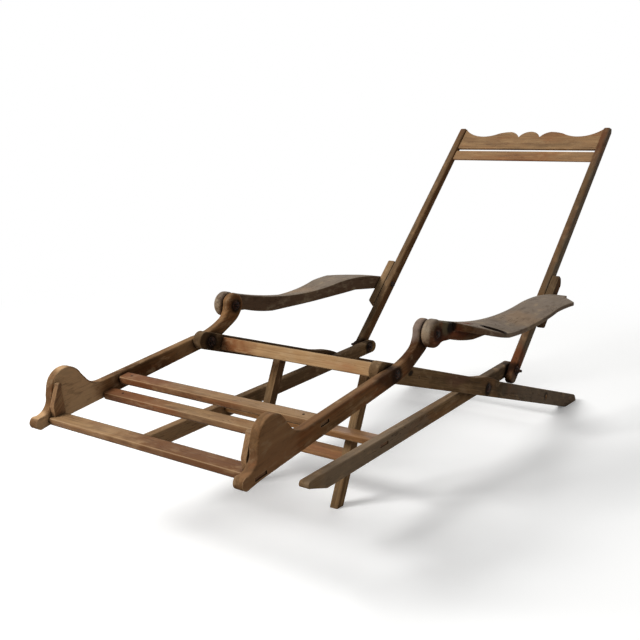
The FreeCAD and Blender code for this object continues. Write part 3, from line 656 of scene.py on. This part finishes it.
@dataclass(frozen=True)
class Housing:
    """Mortise that a cross piece is let into, whose rim stays sharp."""

    middle: Vector
    run: Run
    half: tuple[float, float]      # half of its length along the rail and half of its height

    @classmethod
    def of(cls, node: str, run: Run, spare: float = 0.0012) -> "Housing":
        """Measure the mortise of a cross piece.

        Args:
            node: Name of the cross piece.
            run: Run of the rail that houses it.
            spare: Distance past the rim that still counts.

        Returns:
            The mortise.
        """
        middle, wide, thick = section(node, abs(math.radians(run.value[0])))
        return cls(middle, run, (wide / 2 + spare, thick / 2 + spare))

    def clear(self, tree: Tree, point: Signal) -> Signal:
        """Find the edges that aren't on the mortise's rim.

        Args:
            tree: Node tree of the modifier.
            point: Middle of the edge.

        Returns:
            0 on the rim and 1 elsewhere.
        """
        across = (0.0, -self.run.way[2], self.run.way[1])
        away = add_node(tree, VECTOR_MATH, SUBTRACT, {0: point, 1: self.middle})
        past = []
        for way, half in zip((self.run.way, across), self.half):
            far = add_node(tree, VECTOR_MATH, DOT_PRODUCT, {0: away, 1: way}).outputs["Value"]
            far = add_node(tree, MATH, ABSOLUTE, {0: far})
            past.append(add_node(tree, MATH, GREATER_THAN, {0: far, 1: half}))
        return add_node(tree, MATH, MAXIMUM, {0: past[0], 1: past[1]})


def rounding_group(name: str, edge_mm: float, places: Iterable[Worn], widest_mm: float,
                   housings: Iterable[Housing] = ()) -> Tree:
    """Make the modifier that says how widely each sharp edge of a piece is rounded.

    The rims of bolt holes and mortises and the edges next to the floor stay sharp.

    Args:
        name: Name of the piece.
        edge_mm: Width of the rounding away from the worn places.
        places: The worn places.
        widest_mm: Width of the widest rounding.
        housings: Mortises whose rims stay sharp.

    Returns:
        A geometry node group that stores the widths as parts of the widest one.
    """
    tree, start = modifier_tree(f"rounding_of_{name}")
    point = add_node(tree, "GeometryNodeInputPosition")
    angle = add_node(tree, "GeometryNodeInputMeshEdgeAngle")
    tips = add_node(tree, "GeometryNodeInputMeshEdgeVertices")
    length = add_node(tree, VECTOR_MATH, DISTANCE,
                      {0: tips.outputs["Position 1"], 1: tips.outputs["Position 2"]}).outputs["Value"]
    height = add_node(tree, "ShaderNodeSeparateXYZ", None, {0: point}).outputs[2]
    normal = add_node(tree, "GeometryNodeInputNormal")
    facing = add_node(tree, "ShaderNodeSeparateXYZ", None, {0: normal}).outputs[2]
    upward = add_node(tree, MATH, GREATER_THAN, {0: facing, 1: 0.2})
    kept = edge_mm / widest_mm
    for place in places:
        away = add_node(tree, VECTOR_MATH, DISTANCE, {0: point, 1: place.centre})
        near = add_node(tree, MAP_RANGE, SMOOTHSTEP,
                        {"Value": away.outputs["Value"], "From Min": place.reach[1],
                         "From Max": place.reach[0]})
        if place.upper:
            near = add_node(tree, MATH, MULTIPLY, {0: near, 1: upward})
        kept = add_node(tree, "ShaderNodeMix", {"data_type": "FLOAT"},
                        {0: near, 2: kept, 3: place.width_mm / widest_mm})
    shares = [add_node(tree, MATH, GREATER_THAN, {0: value, 1: least})
              for value, least in ((angle, SHARP_ANGLE), (length, HOLE_FACET), (height, FLOOR_EDGE))]
    shares += [housing.clear(tree, point) for housing in housings]
    for share in shares:
        kept = add_node(tree, MATH, MULTIPLY, {0: share, 1: kept})
    stored = add_node(tree, "GeometryNodeStoreNamedAttribute", {"data_type": "FLOAT", "domain": "EDGE"},
                      {"Geometry": start, "Name": "bevel_weight_edge", "Value": kept})
    add_node(tree, "NodeGroupOutput", None, {0: stored})
    return tree


@dataclass
class Workshop:
    """What every sub-assembly needs: the iron finish, the shading and the bolt places."""

    iron: Material
    shading: Tree
    pivots: dict[str, Vector]
    seed: int = 3

    @classmethod
    def open(cls) -> "Workshop":
        """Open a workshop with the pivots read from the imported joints.

        Returns:
            The workshop.
        """
        pivots = {joint["name"]: Vector(joint["pos_m"]) for joint in frame["joints"]}
        low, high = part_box("arm_pin_studs")
        pivots["arm_pin"] = (Vector(low) + Vector(high)) / 2
        return cls(IRON.material(), shading_group(), pivots)

    def shade(self, piece: bpy.types.Object) -> None:
        """Shade a piece by its edge angles."""
        modifier = piece.modifiers.new("shade", "NODES")
        modifier.node_group = self.shading

    def round_edges(self, piece: bpy.types.Object, edge_mm: float, worn: Iterable[Worn] = (),
                    housings: Iterable[Housing] = ()) -> None:
        """Round a piece's edges.

        Args:
            piece: Object of the piece.
            edge_mm: Width of the rounding on each face.
            worn: Places where it is rounded further.
            housings: Mortises whose rims stay sharp.
        """
        widest = max([edge_mm, *(place.width_mm for place in worn)])
        self.shade(piece)
        flat = piece.modifiers.new("flatten", "DECIMATE")
        flat.decimate_type = "DISSOLVE"
        flat.angle_limit = FLAT_ANGLE
        widths = piece.modifiers.new("widths", "NODES")
        widths.node_group = rounding_group(piece.name, edge_mm, worn, widest, housings)
        bevel = piece.modifiers.new("round", "BEVEL")
        bevel.width = widest / 1000
        bevel.segments = 4 if worn else 3
        bevel.limit_method = "WEIGHT"
        bevel.use_clamp_overlap = False
        bevel.miter_outer = "MITER_ARC"
        self.shade(piece)
        even = piece.modifiers.new("even", "WEIGHTED_NORMAL")
        even.keep_sharp = True

    def dress(self, node: str, finish: Timber, run: Run, side: int = 0, stains: Iterable[str] = (),
              patches: Iterable[Patch] = (), tone: float = 1.0, edge_mm: float = 2.4,
              marks: Iterable[Patch] = (), worn: Iterable[Worn] = (), housed: Iterable[str] = ()) -> None:
        """Give a wooden node its rounded edges and its finish.

        Args:
            node: Name of the node.
            finish: Kind of wood.
            run: Way of its grain.
            side: 1 or -1 where it has an inner face, 0 elsewhere.
            stains: Names of the pivots whose iron has stained it.
            patches: Bleached, reddened or greyed stretches of it, and stretches of painted light and
                painted shade.
            tone: How light it is beside other pieces of that wood.
            edge_mm: Width of the rounding.
            marks: Dents, holes, other stains and painted shade in recesses and round a bolt.
            worn: Places where its edges are rounded further.
            housed: Names of the cross pieces that are let into it.
        """
        self.seed += 1
        piece = frame["nodes"][node]
        rusty = [Patch((0.0, self.pivots[name].y, self.pivots[name].z), STAIN_REACH) for name in stains]
        wood = replace(finish, tone=tone)
        material = wood.material(node, run, self.seed, side, patches, [*rusty, *marks])
        for place in piece.material_slots:
            place.material = material
        self.round_edges(piece, edge_mm, worn, [Housing.of(name, run) for name in housed])
        LOG.info("%s in %s", node, finish.name)

    def dress_iron(self, *nodes: str, edge_mm: float = 0.7) -> None:
        """Give iron nodes their finish and a small rounding.

        Args:
            nodes: Names of the nodes.
            edge_mm: Width of the rounding.
        """
        for node in nodes:
            piece = frame["nodes"][node]
            for place in piece.material_slots:
                place.material = self.iron
            self.round_edges(piece, edge_mm)
            LOG.info("%s in %s", node, IRON.name)

    def add(self, name: str, mesh: bpy.types.Mesh, body: str, material: Material, slot: str) -> None:
        """Put a new piece on its body.

        Args:
            name: Name of the piece.
            mesh: Its mesh, in place.
            body: Body that it rides on.
            material: Its finish.
            slot: Material slot of the record; not used.
        """
        mesh.materials.append(material)
        piece = bpy.data.objects.new(name, mesh)
        bpy.context.scene.collection.objects.link(piece)
        self.shade(piece)
        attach(piece, body)
        LOG.info("%s on %s", name, body)

    def washers(self, name: str, pivot: str, face: float, body: str, outward: bool = False) -> None:
        """Add a pair of round washers, mirrored across the chair.

        Args:
            name: Name of the pair.
            pivot: Name of the pivot.
            face: Distance of the wood's face from the middle.
            body: Body that they ride on.
            outward: Whether they lie on an outer face.
        """
        profile = [(0.0106, 0.0), (0.0112, 0.0005), (0.0106, 0.0013), (0.0046, 0.0015)]
        for side, sign in SIDES.items():
            centre = self.pivots[pivot].copy()
            centre.x = sign * face
            axis = Vector((float(sign if outward else -sign), 0.0, 0.0))
            self.add(f"{name}_{side}", turned_mesh(name, profile, centre, axis), body, self.iron, "iron")

    def plug(self, name: str, place: Vector, axis: Vector, body: str, radius: float = 0.0042) -> None:
        """Add one pale wooden plug that stands a little proud.

        Args:
            name: Name of the plug.
            place: Middle of the plug on the wood.
            axis: Way out of the wood.
            body: Body that it rides on.
            radius: Radius of the plug.
        """
        profile = [(radius, -0.001), (radius, 0.0006), (radius * 0.8, 0.0011), (radius * 0.3, 0.0013)]
        self.seed += 1
        material = BEECH.material(name, Run.ACROSS, self.seed)
        self.add(name, turned_mesh(name, profile, place, axis, 20), body, material, "pale_wood")

    def nail_board(self, board: str, run: Run, body: str, inset: float) -> None:
        """Nail a cross board down near both ends, in the middle of its upper face.

        Args:
            board: Name of the board's node.
            run: Run of the rails that it lies across.
            body: Body that it rides on.
            inset: Distance of a nail from the board's end.
        """
        slope = math.radians(run.value[0])
        middle, _, thick = section(board, slope)
        far_end = Vector(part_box(board)[1]).x
        out = Vector((0.0, -math.sin(slope), math.cos(slope)))
        for side, sign in SIDES.items():
            place = middle + out * thick / 2
            place.x = sign * (far_end - inset)
            self.nail(f"{board}_nail_{side}", place, out, body)

    def nail(self, name: str, place: Vector, axis: Vector, body: str, radius: float = 0.0028) -> None:
        """Add one domed nail head.

        Args:
            name: Name of the nail.
            place: Middle of the head on the wood.
            axis: Way out of the wood.
            body: Body that it rides on.
            radius: Radius of the head.
        """
        profile = [(radius, -0.0008), (radius, 0.0002), (radius * 0.82, 0.0007), (radius * 0.4, 0.0010)]
        self.add(name, turned_mesh(name, profile, place, axis, 16), body, self.iron, "iron")


@dataclass
class SeatFrame:
    """Seat rails with their cross members."""

    shop: Workshop
    outer_face: float = 0.250
    inner_face: float = 0.226
    rail_middle: float = 0.238
    heel_height: float = 0.020
    edge_mm: float = 3.2
    tones: tuple[float, float] = (0.86, 0.66)
    plug_at: tuple[float, float] = (0.4489, 0.0702)

    def build(self) -> None:
        """Dress the rails, the bars and the fittings of the seat."""
        shop = self.shop
        face = self.outer_face
        rubbed = Patch((face, -0.07, 0.245), (0.03, 0.08, 0.03), "#745340", 0.7)
        damp = Patch((face, 0.15, 0.165), (0.03, 0.05, 0.04), "#37301f", 0.75)
        aged = Patch((face, 0.45, 0.07), (0.06, 0.36, 0.2), "#75685a", 0.7)
        knot = Patch((face, *self.plug_at), (0.02, 0.015, 0.013), "#21160c", 0.85)
        dent = Patch((face, -0.304, 0.298), (0.02, 0.012, 0.007))
        for (side, sign), tone in zip(SIDES.items(), self.tones):
            rear_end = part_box(f"seat_rail_{side}")[1][1]
            heel = Worn((sign * self.rail_middle, rear_end, self.heel_height), (0.018, 0.045), 4.0)
            shop.dress(f"seat_rail_{side}", DULL_TEAK, Run.SEAT, sign, ("spreader_fold", "foot_fold"),
                       [rubbed, damp, aged], tone=tone, edge_mm=self.edge_mm, marks=[knot, dent],
                       worn=[heel], housed=("seat_front_bar", "seat_rear_stretcher", "prop_rod"))
            shop.plug(f"rail_plug_{side}", Vector((sign * face, *self.plug_at)),
                      Vector((float(sign), 0.0, 0.0)), "seat")
        reddened = Patch((-0.26, -0.35, 0.30), (0.14, 1.0, 1.0), "#733f1e", 0.85)
        shop.dress("seat_front_bar", BEECH, Run.ACROSS, patches=[reddened], edge_mm=1.8)
        for round_bar in ("seat_rear_stretcher", "prop_rod"):
            shop.dress(round_bar, TEAK, Run.ACROSS, edge_mm=0.8)
        shop.dress_iron("main_pivot_bolts", "main_pivot_nuts", "knee_pivot_bolts", "knee_pivot_nuts")
        shop.washers("main_washer", "spreader_fold", self.outer_face, "seat", outward=True)
        shop.washers("knee_washer", "foot_fold", self.inner_face, "seat")


@dataclass
class SpreaderFrame:
    """Spreader legs with the bar tenoned through them."""

    shop: Workshop
    inner_face: float = 0.2035
    leg_middle: float = 0.21
    outer_face: float = 0.226
    edge_mm: float = 4.0
    tone: float = 1.05

    def build(self) -> None:
        """Dress the legs, the bar and the back pivots."""
        shop = self.shop
        pivots = ("spreader_fold", "back_fold")
        shaded = Patch((-self.leg_middle, -0.05, 0.17), (0.06, 0.3, 0.1), "#54402c", 0.7)
        # aged: painted shade on the upper rear of the near leg, where its top faces would light too bright
        # under the key lamp.
        aged = Patch((self.leg_middle, 0.17, 0.2), (0.04, 0.1, 0.06), "#463a2e", 0.8)
        silver = Patch((self.outer_face, -0.42, 0.16), (0.03, 0.26, 0.14), "#80715f", 0.65)
        dry = Patch((-self.leg_middle, -0.55, 0.15), (0.05, 0.2, 0.1), "#9a7a58", 0.75)
        for side, finish, patches in (("left", DULL_TEAK, [aged, silver]), ("right", TEAK, [shaded, dry])):
            shop.dress(f"spreader_leg_{side}", finish, Run.SPREADER, max(SIDES[side], 0), pivots, patches,
                       tone=self.tone, edge_mm=self.edge_mm, housed=("spreader_bar",))
        shop.dress("spreader_bar", STRETCHER_PINE, Run.ACROSS, tone=0.95, edge_mm=0.3)
        shop.dress_iron("back_pivot_bolts", "back_pivot_nuts")
        shop.washers("back_washer", "back_fold", self.inner_face, "spreader")
        shop.washers("main_inner_washer", "spreader_fold", self.inner_face, "spreader")


@dataclass
class PropFrame:
    """Two prop legs that hang from the rod, with their bar."""

    shop: Workshop
    bar_edge_mm: float = 1.6

    def build(self) -> None:
        """Dress the legs and the bar."""
        shop = self.shop
        for side, sign in SIDES.items():
            shop.dress(f"prop_leg_{side}", TEAK, Run.PROP, sign, ("prop_fold",),
                       housed=("prop_bar", "prop_rod"))
        shop.dress("prop_bar", STRETCHER_PINE, Run.ACROSS, tone=1.15, edge_mm=self.bar_edge_mm)


@dataclass
class BackFrame:
    """Stiles, arm blocks, the shaped crest and the rail under it."""

    shop: Workshop
    stile_outer_face: float = 0.2505
    greyed_at: float = 0.259
    stile_edge_mm: float = 6.0
    stile_tones: tuple[float, float] = (1.12, 1.3)
    block_tones: tuple[float, float] = (0.54, 1.2)
    cross_edge_mm: float = 1.4

    def build(self) -> None:
        """Dress the back and its fittings."""
        shop = self.shop
        reddened = Patch((0.24, 0.25, 0.21), (0.05, 0.05, 0.055), "#63371f", 0.8)
        for (side, sign), tone, block_tone in zip(SIDES.items(), self.stile_tones, self.block_tones):
            greyed = Patch((sign * self.greyed_at, 0.0, 0.0), (0.014, 9.0, 9.0), "#655e52", 0.7)
            shop.dress(f"back_stile_{side}", DARK_TEAK, Run.BACK, sign, ("back_fold",), [greyed, reddened],
                       tone=tone, edge_mm=self.stile_edge_mm, housed=("crest_rail", "back_lower_rail"))
            shop.dress(f"arm_block_{side}", TEAK, Run.BACK, tone=block_tone, edge_mm=3.6)
        for cross_rail, tone in (("crest_rail", 1.12), ("back_lower_rail", 1.2)):
            shop.dress(cross_rail, OILED_TEAK, Run.ACROSS, tone=tone, edge_mm=self.cross_edge_mm)
        shop.dress_iron("arm_pin_studs", "arm_pin_nuts")
        shop.washers("back_rove", "back_fold", self.stile_outer_face, "back", outward=True)
        self.rivet_tails()

    def rivet_tails(self) -> None:
        """Add the riveted tails that stand out of the stiles at the back pivots."""
        shop = self.shop
        profile = [(0.0075, 0.001), (0.0078, 0.0045), (0.0066, 0.006), (0.0038, 0.0062),
                   (0.0036, 0.0125), (0.0028, 0.0135)]
        for side, sign in SIDES.items():
            place = shop.pivots["back_fold"].copy()
            place.x = sign * self.stile_outer_face
            name = f"riveted_tail_{side}"
            tail = turned_mesh(name, profile, place, Vector((float(sign), 0.0, 0.0)), 20)
            shop.add(name, tail, "back", shop.iron, "iron")


@dataclass
class FootRest:
    """Foot rails with scrolled toes, their bars and battens."""

    shop: Workshop
    inner_face: float = 0.2505
    outer_face: float = 0.2745
    rail_middle: float = 0.262
    boss_middle: float = 0.2625
    edge_mm: float = 3.6
    # Painted light falloff: the near rail is drawn darker and the far rail lighter, as the key lamp on the
    # far side fades across the chair.
    tones: tuple[float, float] = (0.92, 1.05)
    nail_inset: float = 0.045

    def build(self) -> None:
        """Dress the rails, bars, battens and the elbow pivots."""
        shop = self.shop
        near, far = self.rail_middle, -self.rail_middle
        patches = [Patch((near, -0.325, 0.345), (0.05, 0.055, 0.055), "#3d2210", 0.8),
                   Patch((near, -0.31, 0.405), (0.05, 0.06, 0.035), "#8d7d72", 0.75),
                   Patch((far, -0.60, 0.27), (0.06, 0.1, 0.06), "#38200f", 0.75),
                   Patch((far, -0.42, 0.31), (0.06, 0.07, 0.06), "#8a6a48", 0.7),
                   # Painted light: the far toe drawn much paler, as if the key lamp lit it more.
                   Patch((far, -0.82, 0.27), (0.06, 0.15, 0.16), "#c19c74", 0.9, ends=1.6),
                   Patch((self.outer_face, -0.82, 0.27), (0.03, 0.12, 0.12), "#96704e", 0.65, ends=1.0)]
        # Painted shade round the knee bolt on the outer face.
        knee_shade = Patch((self.outer_face, -0.43, 0.322), (0.02, 0.05, 0.03), "#2a180d", 0.75)
        slit = Patch((self.outer_face, -0.8555, 0.198), (0.02, 0.026, 0.004), "#1a0f08", 0.9, uneven=0.4)
        hole = Patch((-self.inner_face, -0.5757, 0.262), (0.01, 0.006, 0.006), "#140b06", 0.9, uneven=0.3)
        elbow = shop.pivots["arm_left_fold"]
        for (side, sign), tone in zip(SIDES.items(), self.tones):
            round_top = Worn((sign * self.boss_middle, elbow.y, elbow.z), (0.030, 0.120), 8.0)
            shop.dress(f"foot_rail_{side}", RED_TEAK, Run.FOOT, max(sign, 0),
                       ("foot_fold", "arm_left_fold"), patches, tone=tone, edge_mm=self.edge_mm,
                       marks=[knee_shade, slit, hole],
                       worn=[round_top], housed=("foot_bar", "calf_slat_front", "calf_slat_rear"))
            shop.dress(f"foot_batten_{side}", OILED_TEAK, Run.BACK, edge_mm=1.0)
        # Painted shade: the near end of the foot bar darkened, as the key lamp's light falls off towards
        # it.
        near_end_shade = Patch((0.28, -0.82, 0.22), (0.34, 0.2, 0.2), "#5a3419", 0.8)
        warm = Patch((-0.26, -0.70, 0.27), (0.22, 0.2, 0.2), "#6a3c1e", 0.8)
        for board, patch, tone in (("foot_bar", near_end_shade, 1.08), ("calf_slat_front", warm, 1.05),
                                   ("calf_slat_rear", warm, 1.0)):
            shop.dress(board, OILED_TEAK, Run.ACROSS, patches=[patch], tone=tone)
        for board in ("calf_slat_front", "calf_slat_rear"):
            shop.nail_board(board, Run.FOOT, "foot", self.nail_inset)
        shop.dress_iron("elbow_pivot_bolts", "elbow_pivot_nuts")
        shop.washers("elbow_washer", "arm_left_fold", self.inner_face, "foot")


@dataclass
class Arm:
    """One arm: knuckle, bar and drooping wing."""

    shop: Workshop
    side: str
    slot_at: tuple[float, float, float] = (0.339, -0.1053, 0.366)
    slot_turn: float = 33.0
    knuckle_middle: float = 0.286
    edge_mm: float = 2.2

    def build(self) -> None:
        """Dress the arm and the half of the pin that it holds."""
        shop = self.shop
        sign = SIDES[self.side]
        elbow = shop.pivots["arm_left_fold"]
        patches = [Patch((0.41, 0.0, 0.38), (0.085, 0.5, 0.5), "#796c5e", 0.8),
                   Patch((0.33, 0.06, 0.38), (0.06, 0.07, 0.06), "#8f765c", 0.6),
                   Patch((0.30, -0.175, 0.374), (0.012, 0.06, 0.022), "#6a3018", 0.8),
                   Patch((0.31, -0.262, 0.362), (0.03, 0.04, 0.024), "#4a220f", 0.85),
                   Patch((0.28, -0.318, 0.374), (0.03, 0.016, 0.026), "#8a7158", 0.5),
                   Patch((0.298, -0.246, 0.395), (0.02, 0.022, 0.02), "#5c5640", 0.7)]
        # Dirt and painted shade inside the slot in the arm.
        slot = Patch(self.slot_at, (0.0285, 0.0145, 1.0), "#150b05", 0.97, (1.12, 0.98), self.slot_turn,
                     uneven=0.0)
        # Painted shade in the hollow at the arm's neck and in the recess by its knuckle.
        hollow_shade = Patch((0.302, -0.2236, 0.388), (0.02, 0.019, 0.015), "#0d0704", 0.96)
        recess_shade = Patch((0.31, -0.2811, 0.3833), (0.02, 0.02, 0.02), "#391a0a", 0.96)
        marks = [patch.mirrored(sign) for patch in (slot, hollow_shade, recess_shade)]
        knuckle = Worn((sign * self.knuckle_middle, elbow.y, elbow.z), (0.030, 0.075), 9.0)
        rim = Worn(marks[0].centre, (0.032, 0.040), 3.0, upper=True)
        shop.dress(f"arm_{self.side}", SILVERED_TEAK, Run.ARM, sign, (f"arm_{self.side}_fold",),
                   [patch.mirrored(sign) for patch in patches], edge_mm=self.edge_mm, marks=marks,
                   worn=[knuckle, rim])
        shop.dress_iron(f"arm_pin_{self.side}")


@dataclass
class Studio:
    """Floor, lamps, world and camera."""

    floor_size: float = 30.0
    camera_at: tuple[float, float, float] = (1.1533, -1.8659, 0.7751)
    camera_turn: tuple[float, float] = (78.52, 36.05)
    lens_mm: float = 50.2
    ambient: float = 0.28

    def floor(self) -> None:
        """Lay the pale floor under the chair."""
        half = self.floor_size / 2
        mesh = bpy.data.meshes.new("floor")
        corners = [(-half, -half, 0), (half, -half, 0), (half, half, 0), (-half, half, 0)]
        mesh.from_pydata(corners, [], [(0, 1, 2, 3)])
        mesh.materials.append(PaleFloor().material())
        floor = bpy.data.objects.new("floor", mesh)
        bpy.context.scene.collection.objects.link(floor)

    def world(self) -> None:
        """Make the world: weak even light on the chair, white where it is seen."""
        world = bpy.data.worlds.new("studio")
        bpy.context.scene.world = world
        world.use_nodes = True
        tree = world.node_tree
        tree.nodes.clear()
        seen = looked_at(tree)
        soft, white = (
            add_node(tree, "ShaderNodeBackground", None, {"Color": (1, 1, 1, 1), "Strength": strength})
            for strength in (self.ambient, 1.0))
        both = add_node(tree, "ShaderNodeMixShader", None,
                        {0: seen, 1: soft, 2: white})
        add_node(tree, "ShaderNodeOutputWorld", None, {"Surface": both})

    def lamps(self) -> None:
        """Hang the area lamps, aimed at the middle of the chair."""
        aim = Vector((0.0, 0.0, 0.35))
        for lamp in Light:
            place, watts, size = lamp.value
            data = bpy.data.lights.new(f"{lamp.name.lower()}_lamp", "AREA")
            data.energy = watts
            data.size = size
            lamp_object = bpy.data.objects.new(data.name, data)
            lamp_object.location = place
            lamp_object.rotation_euler = (aim - Vector(place)).to_track_quat("-Z", "Y").to_euler()
            bpy.context.scene.collection.objects.link(lamp_object)

    def camera(self) -> None:
        """Set the camera where the photograph was taken."""
        data = bpy.data.cameras.new("camera")
        data.lens = self.lens_mm
        data.sensor_fit = "HORIZONTAL"
        camera = bpy.data.objects.new("camera", data)
        camera.location = self.camera_at
        camera.rotation_euler = (math.radians(self.camera_turn[0]), 0.0, math.radians(self.camera_turn[1]))
        bpy.context.scene.collection.objects.link(camera)
        bpy.context.scene.camera = camera

    def build(self) -> None:
        """Set up the whole studio."""
        self.floor()
        self.world()
        self.lamps()
        self.camera()
        bpy.context.scene.view_settings.view_transform = "Standard"
        LOG.info("studio ready")


def main() -> None:
    """Build the studio and dress the chair, one sub-assembly after another."""
    logging.basicConfig(level=logging.INFO, format="%(name)s %(message)s")
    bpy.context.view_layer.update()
    Studio().build()
    shop = Workshop.open()
    for part in (SeatFrame(shop), SpreaderFrame(shop), PropFrame(shop), BackFrame(shop), FootRest(shop),
                 Arm(shop, "left"), Arm(shop, "right")):
        part.build()
        LOG.info("%s done", type(part).__name__)
    bpy.context.view_layer.update()


if __name__ == "__main__":
    main()
